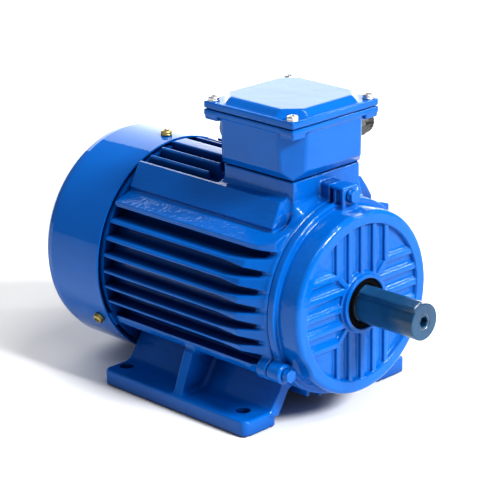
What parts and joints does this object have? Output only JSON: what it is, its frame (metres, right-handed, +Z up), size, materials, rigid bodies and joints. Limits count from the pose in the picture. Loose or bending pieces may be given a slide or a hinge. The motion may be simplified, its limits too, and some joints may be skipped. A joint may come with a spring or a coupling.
{
  "type": "electric motor",
  "caption": "Foot-mounted, fan-cooled electric motor with a finned frame, a terminal box on top and a keyed shaft.",
  "frame": {"origin": "centre of the four foot holes, on the plane the feet stand on", "axes": "+X along the shaft towards the drive end, +Z up, +Y to the side of the cable gland"},
  "size_m": [0.3538, 0.196, 0.2605],
  "materials": {
    "blue_paint": "gloss enamel",
    "yellow_zinc": "yellow passivated zinc",
    "shaft_steel": "ground steel with a protective film",
    "shaft_film": "grey-green peelable film",
    "bearing_steel": "polished",
    "sheet_steel": "satin",
    "rubber": "matte",
    "pale_gasket": "matte",
    "gland_plastic": "satin",
    "plug_plastic": "satin",
    "fan_plastic": "matte",
    "board_resin": "moulded",
    "brass": "satin",
    "copper": "varnished enamelled wire",
    "lead_sleeve": "glass-fibre sleeve",
    "lamination_steel": "stacked sheet edges",
    "cage_aluminium": "cast",
    "plate_aluminium": "satin"
  },
  "bodies": {
    "stator": {"bearing_wave_spring": "sheet_steel", "blanking_plug": "plug_plastic", "box_fixing_screws": "yellow_zinc", "box_fixing_washers": "yellow_zinc", "cable_gland_body": "gland_plastic", "cable_gland_nut": "gland_plastic", "cable_gland_seal": "rubber", "drive_bearing_outer_ring": "bearing_steel", "drive_end_bolts": "blue_paint", "drive_end_shield": "blue_paint", "drive_end_washers": "blue_paint", "drive_oil_seal": "rubber", "earth_screw": "yellow_zinc", "fan_bearing_outer_ring": "bearing_steel", "fan_cover": "blue_paint", "fan_cover_screws": "yellow_zinc", "fan_cover_washers": "yellow_zinc", "fan_end_bolts": "blue_paint", "fan_end_seal": "rubber", "fan_end_shield": "blue_paint", "fan_end_washers": "blue_paint", "frame_housing": "blue_paint", "gland_lock_nut": "gland_plastic", "lid_gasket": "pale_gasket", "plate_rivets": "plate_aluminium", "rating_plate": "plate_aluminium", "stator_core": "lamination_steel", "stator_winding": "copper", "terminal_board": "board_resin", "terminal_box_body": "blue_paint", "terminal_box_gasket": "rubber", "terminal_links": "brass", "terminal_nuts": "brass", "terminal_studs": "brass", "winding_leads": "lead_sleeve"},
    "rotor": {"shaft": "shaft_steel", "shaft_key": "shaft_steel", "shaft_end_plug": "shaft_steel", "shaft_coating": "shaft_film", "rotor_core": "lamination_steel", "rotor_cage": "cage_aluminium", "drive_bearing_inner_ring": "bearing_steel", "fan_bearing_inner_ring": "bearing_steel", "cooling_fan": "fan_plastic", "fan_key": "shaft_steel", "fan_retaining_ring": "sheet_steel"},
    "drive_ball_set": {"drive_bearing_balls": "bearing_steel", "drive_bearing_cage": "sheet_steel"},
    "fan_ball_set": {"fan_bearing_balls": "bearing_steel", "fan_bearing_cage": "sheet_steel"},
    "lid": {"terminal_box_lid": "blue_paint", "lid_screws": "yellow_zinc", "lid_washers": "yellow_zinc"}
  },
  "joints": [
    {"name": "rotor_spin", "type": "hinge", "parent": "stator", "child": "rotor", "pos_m": [0, 0, 0.1], "axis": [1, 0, 0], "continuous": true},
    {"name": "drive_balls_spin", "type": "hinge", "parent": "stator", "child": "drive_ball_set", "pos_m": [0, 0, 0.1], "axis": [1, 0, 0], "continuous": true},
    {"name": "fan_balls_spin", "type": "hinge", "parent": "stator", "child": "fan_ball_set", "pos_m": [0, 0, 0.1], "axis": [1, 0, 0], "continuous": true},
    {"name": "lid_lift", "type": "slide", "parent": "stator", "child": "lid", "axis": [0, 0, 1], "range_m": [0, 0.06]}
  ],
  "couplings": [
    {"joint": "drive_balls_spin", "follows": "rotor_spin", "ratio": 0.3965},
    {"joint": "fan_balls_spin", "follows": "rotor_spin", "ratio": 0.3965}
  ]
}
